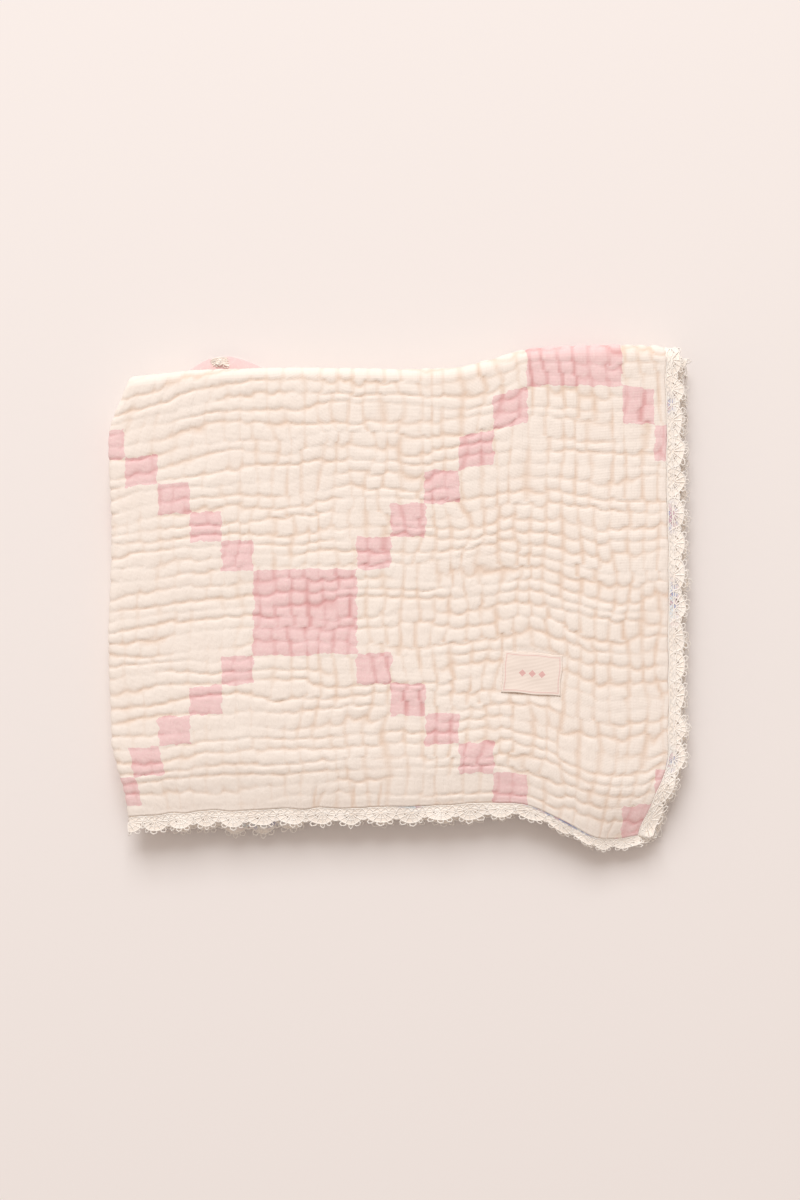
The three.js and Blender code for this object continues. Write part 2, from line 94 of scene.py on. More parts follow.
# Slips of one layer over the others: by, middle, reach
UNDER_HEM_SLIPS = [(6, -150, 110), (3, 40, 90)]
LAST_HEM_SLIPS = [(31, -128, 80), (-3, 200, 260)]
LOWER_LACE_SLIPS = [(5.0, -104, 45)]
UNDER_HEM_SLIP = 2.0
SIDE_HEM_SLIP = 2.5
SIDE_HEM_WAVE = (1.5, 88.0)

# The hems are drawn in and let out from stitch to stitch
STITCHED_LENGTH = 13
STITCHED_DEPTH = 16
SIDE_STITCHED_WAVE = 1.8
NEAR_STITCHED_WAVE = 2.2

# Stretches over which the stack sinks: share, near from-to, right from-to
SINKS = [(0.15, (128, 176), None), (0.13, None, (140, 200)), (0.16, (140, 180), (105, 175))]
HANG_NEAR = 0.026
HANG_RIGHT = 0.009
HILLS = [(0.02, 43, 52, 0.6), (0.012, 71, 38, 2.1)]

# The woven squares, counted from the near left corner of the middle block. The crinkled cloth is
# drawn out in some places and pushed together in others, so the lines between the squares are
# given where they lie: (column, s) across the cloth, and (row, v) along it at the left and right.
SQUARE = 24.7
SQUARES_BEFORE = 40                 # keeps the count above 0 everywhere on the cloth
REPEAT_SQUARES = 16
BLOCK_SQUARES = 3
COLUMN_LINES = np.array([(-36, -785), (-4, 10.9), (0, 102.7), (3, 176.9), (8, 300), (12, 391.8),
                         (13, 416)])
ROWS_LEFT = np.array([(-5.37, 0), (0, 118.5), (3, 184.7), (9.4, TOP_THIRD), (32.6, 981), (32.8, 987)])
ROWS_RIGHT = np.array([(-4.97, 0), (0, 119.5), (3, 184.5), (8.81, TOP_THIRD), (32.6, 981), (32.8, 987)])
LAST_ASKEW = 2.4                    # columns by which the last hem lies askew

# The woven label
LABEL_WIDTH = 42.0
LABEL_HEIGHT = 29.5
LABEL_CLOTH = 0.4
LABEL_X = 94.5
LABEL_Y = -56.5
LABEL_TURN = math.radians(-4)
BORDER_INSET = 1.8
BORDER_HALF = 0.4
DIAMOND_PITCH = 7.0
DIAMOND_HALF = 2.6

# The lace: two rows of thread along the seam, then one fan to each scallop, with loops at its rim
LACE_WIDTH = 16.0
LACE_START = 0.2
LACE_SEAT = 1.4
SCALLOP_PITCH = 21.5
SCALLOP_DEPTH = 15.6
SEAM_ROWS = (0.9, 4.2)
FAN_ROOT = 4.4
FAN_DEPTH = 8.6
STRAND_RADIUS = 0.48
THREAD_LIFT = 0.35
GROUND_LIFT = 0.05
NEAR_CURL = 10.0
SIDE_CURL = 3.5
NEAR_DRAWN_OUT = 5.5

# The camera looks straight down, as in the photograph, where a pixel is 0.72 mm
PIXEL = 0.72
PHOTO_WIDTH = 800
PHOTO_HEIGHT = 1200
MIDDLE_PIXEL = (400, 595)           # where the photograph has the blanket's middle
TOP_SURFACE = 27.0
LENS = 50.0
SENSOR = 36.0

HALF_WIDTH = CLOTH_WIDTH / 2
HEM_TURN = math.pi * HEM_ROLL + HEM_UNDER
SHEET_CORE = FRONT_CORE + PIECE_GAP + BACKING_THICKNESS
FRONT_OUTER = SHEET_CORE / 2
BACKING_MIDDLE = -SHEET_CORE / 2 + BACKING_THICKNESS / 2
MEAN_PUFF = PUFF_HEIGHT / 2
SIDE_RADIUS = (SHEET_CORE + LAYER_GAP) / 2
SIDE_ARC = math.pi * SIDE_RADIUS / 2
DOUBLED_HALF = SIDE_RADIUS + FRONT_OUTER + MEAN_PUFF
STACK_RADIUS = DOUBLED_HALF + LAYER_GAP / 2
STACK_ARC = math.pi * STACK_RADIUS
TOP_MIDDLE = 4 * STACK_RADIUS + DOUBLED_HALF
FAR_AXIS = HEM_Y + TOP_THIRD
NEAR_AXIS = FAR_AXIS - MIDDLE_THIRD
RIGHT_HEM = LEFT_AXIS + HALF_WIDTH - SIDE_ARC
MIDDLE_START = TOP_THIRD + STACK_ARC
MIDDLE_END = MIDDLE_START + MIDDLE_THIRD
LAST_START = MIDDLE_END + STACK_ARC

# The four hems: s and v where each starts, its steps in s and v, those outwards, and its length
HEMS = [
    (HALF_WIDTH, 0, -1, 0, 0, -1, CLOTH_WIDTH), (-HALF_WIDTH, 0, 0, 1, -1, 0, CLOTH_LENGTH),
    (-HALF_WIDTH, CLOTH_LENGTH, 1, 0, 0, 1, CLOTH_WIDTH),
    (HALF_WIDTH, CLOTH_LENGTH, 0, -1, 1, 0, CLOTH_LENGTH)]
NEAR_HEM = 0
FAR_HEM = 2


# Uneven cloth

NOISE_SIZE = 128
NOISE = np.random.RandomState(7).random_sample((NOISE_SIZE, NOISE_SIZE))


def ease(start, stop, value):
    """A smooth step from 0 at start to 1 at stop."""
    t = np.clip((value - start) / (stop - start), 0, 1)
    return t * t * (3 - 2 * t)


def swell(middle, reach, value):
    """A smooth hump, 1 at its middle and 0 from its reach on."""
    return 1 - ease(0, reach, np.abs(value - middle))


def uneven(x, y, layer=0):
    """Smooth random values from 0 to 1, one to each unit of x and y."""
    def at(i, j):
        return NOISE[i % NOISE_SIZE, j % NOISE_SIZE]

    x = np.asarray(x, float) + 17.3 * layer
    y = np.asarray(y, float) + 9.1 * layer
    ix = np.floor(x).astype(int)
    iy = np.floor(y).astype(int)
    fx = ease(0, 1, x - ix)
    fy = ease(0, 1, y - iy)
    low = at(ix, iy) * (1 - fx) + at(ix + 1, iy) * fx
    high = at(ix, iy + 1) * (1 - fx) + at(ix + 1, iy + 1) * fx
    return low * (1 - fy) + high * fy


# The folds

def into(stretch, value):
    """How far value is into a stretch, and 1 where there is none."""
    return 1.0 if stretch is None else ease(stretch[0], stretch[1], value)


def outline_at(x, column):
    """A line of the outline table at x, joined by smooth steps."""
    xs = OUTLINE[:, 0]
    ys = OUTLINE[:, column]
    slopes = np.gradient(ys, xs)
    slopes[1:-1] = (ys[2:] - ys[:-2]) / (xs[2:] - xs[:-2])
    x = np.clip(x, xs[0], xs[-1])
    row = np.clip(np.searchsorted(xs, x, side="right") - 1, 0, len(xs) - 2)
    span = xs[row + 1] - xs[row]
    t = (x - xs[row]) / span
    start = (2 * t**3 - 3 * t**2 + 1) * ys[row] + (t**3 - 2 * t**2 + t) * span * slopes[row]
    return start + (3 * t**2 - 2 * t**3) * ys[row + 1] + (t**3 - t**2) * span * slopes[row + 1]


def slip_at(x, slips):
    return sum(by * swell(middle, reach, x) for by, middle, reach in slips)


def slipped(s, v):
    """The layers have slipped a little over each other."""
    x = np.abs(s) + LEFT_AXIS
    hem_slip = ease(0, 60, -s) * (UNDER_HEM_SLIP + slip_at(x, UNDER_HEM_SLIPS))
    near_hem = 1 - ease(0, TOP_THIRD, v)
    last_hem = ease(LAST_START, CLOTH_LENGTH, v)
    upper = s > 0
    rise, length = SIDE_HEM_WAVE
    side_slip = np.where(upper, 0, SIDE_HEM_SLIP) + rise * np.sin(v / length + np.where(upper, 0, 2))
    outwards = (np.abs(s) / HALF_WIDTH) ** 3
    slipped_v = v - hem_slip * near_hem + slip_at(x, LAST_HEM_SLIPS) * last_hem
    return s + np.sign(s) * side_slip * outwards, slipped_v


def fold_in_half(s, d):
    """Folds round the left edge. Gives x and the height over the middle of the doubled cloth."""
    radius = SIDE_RADIUS + d
    angle = np.clip(s, -SIDE_ARC, SIDE_ARC) / SIDE_RADIUS
    turning = np.abs(s) < SIDE_ARC
    x = np.where(turning, LEFT_AXIS - radius * np.cos(angle), LEFT_AXIS + np.abs(s) - SIDE_ARC)
    return x, np.where(turning, radius * np.sin(angle), np.sign(s) * radius)


def fold_in_thirds(v, h):
    """Folds back and forth, with h the height over the middle of the doubled cloth. Gives y, z."""
    far_turn = np.clip(v - TOP_THIRD, 0, STACK_ARC) / STACK_RADIUS
    near_turn = np.clip(v - MIDDLE_END, 0, STACK_ARC) / STACK_RADIUS
    wide = STACK_RADIUS + h
    tight = STACK_RADIUS - h
    pieces = [v <= TOP_THIRD, v < MIDDLE_START, v <= MIDDLE_END, v < LAST_START]
    y = np.select(pieces, [HEM_Y + v, FAR_AXIS + wide * np.sin(far_turn), FAR_AXIS - (v - MIDDLE_START),
                           NEAR_AXIS - tight * np.sin(near_turn)], NEAR_AXIS + (v - LAST_START))
    z = np.select(pieces, [TOP_MIDDLE + h, TOP_MIDDLE - STACK_RADIUS + wide * np.cos(far_turn),
                           TOP_MIDDLE - 2 * STACK_RADIUS - h,
                           TOP_MIDDLE - 3 * STACK_RADIUS + tight * np.cos(near_turn)],
                  TOP_MIDDLE - 4 * STACK_RADIUS + h)
    return y, z


def fullness(x, y):
    """How full the stack is: less where it sinks or hangs, with low hills elsewhere."""
    sunk = sum(share * into(near, -y) * into(right, x) for share, near, right in SINKS)
    hang = HANG_NEAR * np.maximum(HEM_Y - y, 0) + HANG_RIGHT * np.maximum(x - RIGHT_HEM, 0)
    hills = sum(share * np.sin(x / across + phase) * np.sin(y / along - phase)
                for share, across, along, phase in HILLS)
    return 1 - sunk - hang + hills


def drawn_in_by(pull, value):
    by, start, stop = pull
    return by * ease(start, stop, value)


def left_pull(x, y):
    """How far the left fold is drawn in to the right, most at its two corners."""
    rise, length = LEFT_WAVE
    pull = drawn_in_by(FAR_LEFT_PULL, y) + drawn_in_by(NEAR_LEFT_PULL, -y) + rise * np.sin(y / length)
    return pull * (1 - ease(*LEFT_STRETCH, x))


def right_pull(x, y):
    """How far the near right corner is drawn in to the left."""
    return drawn_in_by(NEAR_RIGHT_PULL, -y) * ease(*RIGHT_STRETCH, x)


def hem_waves(s, v, x, y):
    """How far the side hem and the near hem lie out of line, in x and in y."""
    layer = np.where(s > 0, 0, 40)
    at_side = ease(HALF_WIDTH - STITCHED_DEPTH, HALF_WIDTH, np.abs(s))
    at_near = (1 - ease(0, STITCHED_DEPTH, v)) * ease(0, 40, np.abs(s))
    side = SIDE_STITCHED_WAVE * (uneven(y / STITCHED_LENGTH + layer, 4.5, 19) - 0.5) * at_side
    near = NEAR_STITCHED_WAVE * (uneven(x / STITCHED_LENGTH + layer, 2.5, 18) - 0.5) * at_near
    return side, near


def place(s, v, d):
    """Where a point of the cloth lies in the folded stack, in metres. s runs across the cloth from
    the left fold, + on the upper half; v along it from the near hem; d outwards from mid sheet."""
    slip_s, slip_v = slipped(s, v)
    x, h = fold_in_half(slip_s, d)
    y, z = fold_in_thirds(slip_v, h)
    near = outline_at(x, 1)
    far = outline_at(x, 2)
    shortened = y + HANG_SHORTENING * np.maximum(HEM_Y - y, 0)
    pulled_y = near + (shortened - HEM_Y) / (FAR_REACH - HEM_Y) * (far - near)
    pulled_x = x + left_pull(x, y) - right_pull(x, y)
    wave_x, wave_y = hem_waves(s, v, x, y)
    return np.stack([pulled_x + wave_x + CENTRE_X, pulled_y + wave_y + CENTRE_Y, z * fullness(x, y)],
                    axis=-1) * MM


def label_point(a, b):
    """Cloth coordinates of a point of the label, a across and b along it."""
    x = LABEL_X + a * math.cos(LABEL_TURN) - b * math.sin(LABEL_TURN)
    y = LABEL_Y + a * math.sin(LABEL_TURN) + b * math.cos(LABEL_TURN)
    near = outline_at(x, 1)
    far = outline_at(x, 2)
    return x - LEFT_AXIS + SIDE_ARC, (y - near) / (far - near) * (FAR_REACH - HEM_Y)


# The crinkle

def near_label(s, v, margin):
    """1 under the label, easing to 0 over the margin round it."""
    label_s, label_v = label_point(0.0, 0.0)
    across = 1 - ease(LABEL_WIDTH / 2, LABEL_WIDTH / 2 + margin, np.abs(s - label_s))
    along = 1 - ease(LABEL_HEIGHT / 2 + 1, LABEL_HEIGHT / 2 + 1 + margin, np.abs(v - label_v))
    return across * along


def ridge_count(s, v):
    """How many ridges lie between the near hem and each point."""
    lean = (LEFT_LEAN * (1 - ease(0, 200, s))
            + FAR_LEFT_LEAN * (1 - ease(-5, 105, s)) * ease(150, TOP_THIRD, v))
    wander = sum(by * (uneven(s / across, v / along, layer) - 0.5)
                 for by, across, along, layer in RIDGE_WANDER)
    return (v + lean + wander) / RIDGE_PITCH


def cell_count(s, v, ridge):
    """How many cells lie between the left fold and each point, a little different on each ridge."""
    return (s / CELL_WIDTH + 0.75 * (uneven(s / 17, v / 32, 3) - 0.5)
            + 0.55 * (uneven(s / 24, ridge * 0.8, 16) - 0.5))


def cell_step(line, aside, v):
    """How far the cells to the two sides of a line lie out of step."""
    share = ease(-0.22, 0.22, aside)
    return (uneven((line - 1) * 3.7, v / 26, 4) * (1 - share) + uneven(line * 3.7, v / 26, 4) * share) - 0.5


def crinkle(s, v):
    """Rise of the gauze above its creases, from 0 in a deep crease to 1 on a full ridge."""
    celled = (0.45 + 0.55 * ease(60, 200, s)) * (0.65 + 0.5 * uneven(s / 95, v / 70, 10))
    ridges = ridge_count(s, v)
    cells = cell_count(s, v, np.floor(ridges))
    line = np.round(cells)
    aside = cells - line
    middling = 1 - 4 * (0.5 - np.abs(aside)) ** 2
    phase = ridges + CELL_STEP * celled * cell_step(line, aside, v) + CELL_BOW * celled * middling

    crease = np.round(phase)
    body = (1 - (1 - 2 * np.abs(phase - crease)) ** 2.5) ** 0.8
    long_run = ease(0.15, 0.68, uneven(s / 40, crease * 7.7, 5))
    depth = (0.22 + 0.78 * long_run) * (0.72 + 0.42 * uneven(s / 12, crease * 3.3, 6))
    from_hem = ease(4, 22, v)
    at_hem = from_hem + (1 - from_hem) * (0.3 + 0.7 * ease(190, 260, s))
    ridge = 1 - np.minimum(depth, 1) * at_hem * (1 - body)

    strength = celled * (0.1 + 0.85 * uneven(line * 2.9, phase * 0.8, 7) ** 1.3)
    groove = 1 - np.minimum(strength, 0.9) * np.exp(-(aside * CELL_WIDTH / GROOVE_WIDTH) ** 2)
    pillow = 1 - 0.36 * celled * (1 - 2 * np.abs(aside)) ** 2.5
    full = 0.66 + 0.34 * uneven(cells * 0.8, phase * 0.8, 8)
    tucks = sum(np.exp(-((s - at - 0.12 * v) / TUCK_WIDTH) ** 2) for at in HEM_TUCKS) * (1 - ease(12, 24, v))
    fine = 0.07 * (uneven(s / 3.6, v / 2.6, 9) - 0.5)
    return np.clip(ridge * groove * pillow * full * (1 - 0.8 * tucks) + fine, 0, 1)


def puffs(s, v):
    """Height of the gauze over its core, and how far each point lies down in a crease. The panel
    that shows is crinkled, the left fold of the layers under it too, and the rest has even ridges."""
    rise = crinkle(s, v)
    even = 0.5 - 0.5 * np.cos(2 * math.pi * v / RIDGE_PITCH)
    edge = np.minimum(HALF_WIDTH - np.abs(s), np.minimum(v, CLOTH_LENGTH - v))
    band = 0.5 + 0.5 * ease(0.5, 6, edge)
    visible = band * (1.7 * rise + 0.9 * (uneven(s / 62, v / 48, 9) - 0.5)) + 0.1
    press = near_label(s, v, 6.0)
    visible = visible * (1 - press) + np.minimum(visible, PRESSED_PUFF) * press
    left_edge = 1 - ease(4.5, 8, np.abs(s))
    hidden = MEAN_PUFF - 1.3 * (1 - even) * band
    hidden = hidden * (1 - left_edge) + (0.2 + 1.15 * rise * band) * left_edge
    showing = ease(-6, 2, s) * (1 - ease(TOP_THIRD + 6, MIDDLE_START, v))
    # how far down in a crease each point lies, which the gauze's colour uses for painted shade
    crease = 1 - np.clip(np.where(showing + left_edge > 0.5, rise, even), 0, 1)
    return visible * showing + hidden * (1 - showing), crease


# Meshes

def finish_piece(obj, nodes):
    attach(obj, "root")
    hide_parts(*nodes)
    return obj


def new_object(name, bm, smooth=True):
    mesh = bpy.data.meshes.new(name)
    bm.to_mesh(mesh)
    bm.free()
    mesh.polygons.foreach_set("use_smooth", [smooth] * len(mesh.polygons))
    obj = bpy.data.objects.new(name, mesh)
    bpy.context.scene.collection.objects.link(obj)
    return obj


def read_points(mesh):
    flat = np.empty(len(mesh.vertices) * 3)
    mesh.vertices.foreach_get("co", flat)
    return flat.reshape(-1, 3)


def write_points(mesh, points):
    mesh.vertices.foreach_set("co", np.ascontiguousarray(points, dtype=np.float64).ravel())
    mesh.update()


def write_flat_map(mesh, u, v):
    """The UV map holds the cloth's own flat coordinates, in metres."""
    corner = np.empty(len(mesh.loops), dtype=np.int32)
    mesh.loops.foreach_get("vertex_index", corner)
    layer = mesh.uv_layers.new(name="flat")
    layer.data.foreach_set("uv", np.stack([u[corner], v[corner]], axis=-1).ravel() * MM)


def write_value(mesh, name, values):
    attribute = mesh.attributes.new(name, "FLOAT", "POINT")
    attribute.data.foreach_set("value", np.ascontiguousarray(values, dtype=np.float32))


def stepped_grid(across, along, finer=()):
    """A grid whose steps follow two lists of (place, steps up to it). In the stretches that finer
    lists, as (s from, s to, v from, v to), the squares are cut in sixteen. Gives a bmesh and a
    way back from step counts to places."""
    s_steps = np.cumsum([steps for _, steps in across])
    v_steps = np.cumsum([steps for _, steps in along])
    s_at = [place_at for place_at, _ in across]
    v_at = [place_at for place_at, _ in along]
    bm = bmesh.new()
    bmesh.ops.create_grid(bm, x_segments=int(s_steps[-1]), y_segments=int(v_steps[-1]), size=0.5)
    bmesh.ops.translate(bm, verts=bm.verts, vec=(0.5, 0.5, 0))
    bmesh.ops.scale(bm, verts=bm.verts, vec=(float(s_steps[-1]), float(v_steps[-1]), 1))
    limits = [(*np.interp(stretch[:2], s_at, s_steps), *np.interp(stretch[2:], v_at, v_steps))
              for stretch in finer]

    def inside(vert, limit):
        return (limit[0] - 0.1 < vert.co.x < limit[1] + 0.1
                and limit[2] - 0.1 < vert.co.y < limit[3] + 0.1)

    def back(points):
        return np.interp(points[:, 0], s_steps, s_at), np.interp(points[:, 1], v_steps, v_at)

    edges = [edge for edge in bm.edges
             if any(inside(edge.verts[0], limit) and inside(edge.verts[1], limit) for limit in limits)]
    if edges:
        bmesh.ops.subdivide_edges(bm, edges=edges, cuts=3, use_grid_fill=True)
    return bm, back


def turned_hem(along, limit, radius):
    """Rolls what reaches past a hem over its edge and back underneath it."""
    past = np.maximum(np.abs(along - limit / 2) - limit / 2, 0)
    outward = np.sign(along - limit / 2)
    angle = np.minimum(past / radius, math.pi)
    back = np.maximum(past - math.pi * radius, 0)
    edge = np.clip(along, 0, limit)
    return edge + outward * (radius * np.sin(angle) - back), radius * (1 - np.cos(angle))


# The front cloth

def woven_place(s, v):
    """Where each point lies on the weaver's even squares, in millimetres."""
    slip_s, slip_v = slipped(s, v)
    x, _ = fold_in_half(slip_s, 0.0)
    y = HEM_Y + np.minimum(slip_v, TOP_THIRD)
    drawn_in = right_pull(x, y) * ease(0, 60, s)
    column = (np.interp(s - drawn_in, COLUMN_LINES[:, 1], COLUMN_LINES[:, 0])
              + LAST_ASKEW * ease(MIDDLE_START, CLOTH_LENGTH, v))
    right_share = ease(113, 178, s)
    row = (np.interp(v, ROWS_LEFT[:, 1], ROWS_LEFT[:, 0]) * (1 - right_share)
           + np.interp(v, ROWS_RIGHT[:, 1], ROWS_RIGHT[:, 0]) * right_share)
    return (column + SQUARES_BEFORE) * SQUARE, (row + SQUARES_BEFORE) * SQUARE


def front_gauze():
    across = [(-HALF_WIDTH - HEM_TURN, 0), (-HALF_WIDTH, 5), (-8, 20), (8, 4), (HALF_WIDTH, 61),
              (HALF_WIDTH + HEM_TURN, 5)]
    along = [(-HEM_TURN, 0), (0, 5), (TOP_THIRD, 72), (MIDDLE_START, 5), (MIDDLE_END, 32),
             (LAST_START, 8), (CLOTH_LENGTH, 34), (CLOTH_LENGTH + HEM_TURN, 5)]
    top_panel = (-8, HALF_WIDTH, 0, MIDDLE_START)
    left_folds = (-8, 8, MIDDLE_START, CLOTH_LENGTH)
    bm, back = stepped_grid(across, along, finer=[top_panel, left_folds])
    obj = new_object("crinkled_gauze_front", bm)
    mesh = obj.data
    grid_s, grid_v = back(read_points(mesh))
    s, drop_s = turned_hem(grid_s + HALF_WIDTH, CLOTH_WIDTH, HEM_ROLL)
    s = s - HALF_WIDTH
    v, drop_v = turned_hem(grid_v, CLOTH_LENGTH, HEM_ROLL)
    puff, crease = puffs(s, v)
    placed = place(s, v, FRONT_OUTER + puff - drop_s - drop_v)
    placed[:, 2] = np.maximum(placed[:, 2], 0)
    write_points(mesh, placed)
    write_flat_map(mesh, *woven_place(s, v))
    # the crease depth drives the painted shade in the gauze's colour
    write_value(mesh, "crease", crease)
    mesh.materials.append(gauze_material())
    return finish_piece(obj, ["front_gauze"])


# The backing

def printed_backing():
    across = [(-HALF_WIDTH + BACKING_SETBACK, 0), (-8, 60), (8, 10), (HALF_WIDTH - BACKING_SETBACK, 60)]
    along = [(BACKING_SETBACK, 0), (TOP_THIRD, 60), (MIDDLE_START, 8), (MIDDLE_END, 50), (LAST_START, 8),
             (CLOTH_LENGTH - BACKING_SETBACK, 50)]
    bm, back = stepped_grid(across, along)
    obj = new_object("printed_muslin_backing", bm)
    mesh = obj.data
    s, v = back(read_points(mesh))
    ripple = 0.18 * np.sin(2 * math.pi * v / RIDGE_PITCH) * ease(0, 30, CLOTH_LENGTH - v)
    write_points(mesh, place(s, v, BACKING_MIDDLE + ripple))
    write_flat_map(mesh, s, v)
    mesh.materials.append(backing_material())
    return finish_piece(obj, ["printed_backing"])


# The lace

def lace_strands(pitch):
    """The threads of one scallop, as lines of (along, out, lift)."""
    rim = pitch / 2 - 0.3

    def fan_point(share, angle, lift):
        along = pitch / 2 - rim * share * math.cos(angle)
        return along, FAN_ROOT + FAN_DEPTH * share * math.sin(angle), lift

    near_row, far_row = SEAM_ROWS
    strands = [[(pitch * k / 6, out, 0.35 + 0.15 * (-1) ** k) for k in range(7)] for out in SEAM_ROWS]
    strands.append([(pitch * k / 8, near_row + 0.1 if k % 2 else far_row, 0.6) for k in range(9)])
    for k in range(7):
        angle = math.radians(12 + 26 * k)
        spoke = [(0.16, 0.5), (0.55, 0.8), (0.98, 0.4)]
        strands.append([fan_point(share, angle, lift) for share, lift in spoke])
    for share, lift in ((1.0, 0.5), (0.6, 0.2)):
        strands.append([fan_point(share, math.pi * k / 10, lift) for k in range(11)])
    for k in range(5):
        angle = math.radians(26 + 32 * k)
        side = math.radians(10)
        loop = [(1.0, -side), (1.2, -side * 0.9), (1.33, 0), (1.2, side * 0.9), (1.0, side)]
        strands.append([fan_point(share, angle + turn, 0.3) for share, turn in loop])
    return strands


def scallop_mesh(pitch):
    curve = bpy.data.curves.new("scallop", "CURVE")
    curve.dimensions = "3D"
    curve.bevel_depth = STRAND_RADIUS
    curve.bevel_resolution = 0
    curve.use_fill_caps = True
    for strand in lace_strands(pitch):
        spline = curve.splines.new("POLY")
        spline.points.add(len(strand) - 1)
        for point, (along, out, lift) in zip(spline.points, strand):
            point.co = (along, out, lift * THREAD_LIFT, 1)
    holder = bpy.data.objects.new("scallop", curve)
    bpy.context.scene.collection.objects.link(holder)
    mesh = bpy.data.meshes.new_from_object(holder.evaluated_get(bpy.context.evaluated_depsgraph_get()))
    bpy.data.objects.remove(holder)
    bpy.data.curves.remove(curve)
    return mesh


def add_ground(bm, length, pitch):
    """The closely worked ground behind the threads of one hem, with eyelets at each valley and to
    both sides of each fan's middle."""
    made = bmesh.ops.create_grid(bm, x_segments=round(length / 2.15), y_segments=7, size=0.5)
    bmesh.ops.translate(bm, verts=made["verts"], vec=(0.5, 0.5, 0))
    bmesh.ops.scale(bm, verts=made["verts"], vec=(length, 1, 1))
    for vert in made["verts"]:
        swing = abs(math.sin(math.pi * vert.co.x / pitch)) ** 0.6
        vert.co.y = -1.6 + vert.co.y * (9.6 + 4.6 * swing)
        vert.co.z = GROUND_LIFT
    eyelets = []
    for face in {face for vert in made["verts"] for face in vert.link_faces}:
        middle = face.calc_center_median()
        share = middle.x / pitch % 1
        from_valley = min(share, 1 - share) * pitch
        from_side = abs(abs(share - 0.5) * pitch - 4.2)
        if (from_valley < 1.2 and 5.5 < middle.y < 7.2) or (from_side < 0.9 and 6.4 < middle.y < 8.0):
            eyelets.append(face)
    bmesh.ops.delete(bm, geom=eyelets, context="FACES")


def straight_lace():
    """The lace of the four hems lying straight, one hem on another, and the hem of each point."""
    bm = bmesh.new()
    hem_of_point = []
    for number, hem in enumerate(HEMS):
        length = hem[-1]
        count = round(length / SCALLOP_PITCH)
        scallop = scallop_mesh(length / count)
        add_ground(bm, length, length / count)
        for k in range(count):
            first = len(bm.verts)
            bm.from_mesh(scallop)
            bm.verts.ensure_lookup_table()
            bmesh.ops.translate(bm, verts=bm.verts[first:], vec=(k * length / count, 0, 0))
        hem_of_point.extend([number] * (len(bm.verts) - len(hem_of_point)))
        bpy.data.meshes.remove(scallop)
    return new_object("scalloped_cotton_lace", bm), np.array(hem_of_point)


def gather(along, out, reach, total, length):
    """The lace is uneven in depth, sways from side to side and fans out round the corners."""
    out = np.where(out > 2, 2 + (out - 2) * (0.76 + 0.4 * uneven(total / 12, 0.5, 11)), out)
    corner = np.minimum(along, length - along)
    fan = np.clip(1 - corner / 10.0, 0, 1) * np.maximum(out, 0) * 0.8
    sway = 4.6 * (uneven(total / 10, 1.7, 13) - 0.5) * reach * ease(2, 14, corner)
    return along + np.where(along < length / 2, -fan, fan) + sway, out


def frilled(hem_number, reach, total):
    """Height of the lace's frill, fullest at the near hem."""
    fullest = 2.3 + 1.4 * (hem_number == NEAR_HEM)
    return (fullest * (uneven(total / 7.5, 3.3, 12) - 0.5) + 0.9 * np.sin(total / 6.1)) * reach ** 1.5


def printed_peeks(s, v, out):
    """Where the printed backing shows, from 0 to 1: as an edging beside the dip of the near hem,
    and glimpsed in patches along the side hem and in the lower row of lace at the left."""
    seam = 1 - ease(1.0, 2.4, out)
    wide = 1 - ease(6.0, 9.0, out)
    near = (v < 1) * (s > 0) * (swell(330, 34, s) ** 0.5 + swell(217, 12, s)) * seam
    side = (s > HALF_WIDTH - 1) * (v < TOP_THIRD) * wide * (
        swell(222, 16, v) + swell(163, 24, v) + 0.7 * swell(52, 16, v) + 0.7 * swell(300, 12, v))
    low = (v < 1) * (s < 0) * swell(-104, 34, s) * swell(7.5, 3.5, out)
    return np.clip(near, 0, 1), np.clip(side + low, 0, 1)


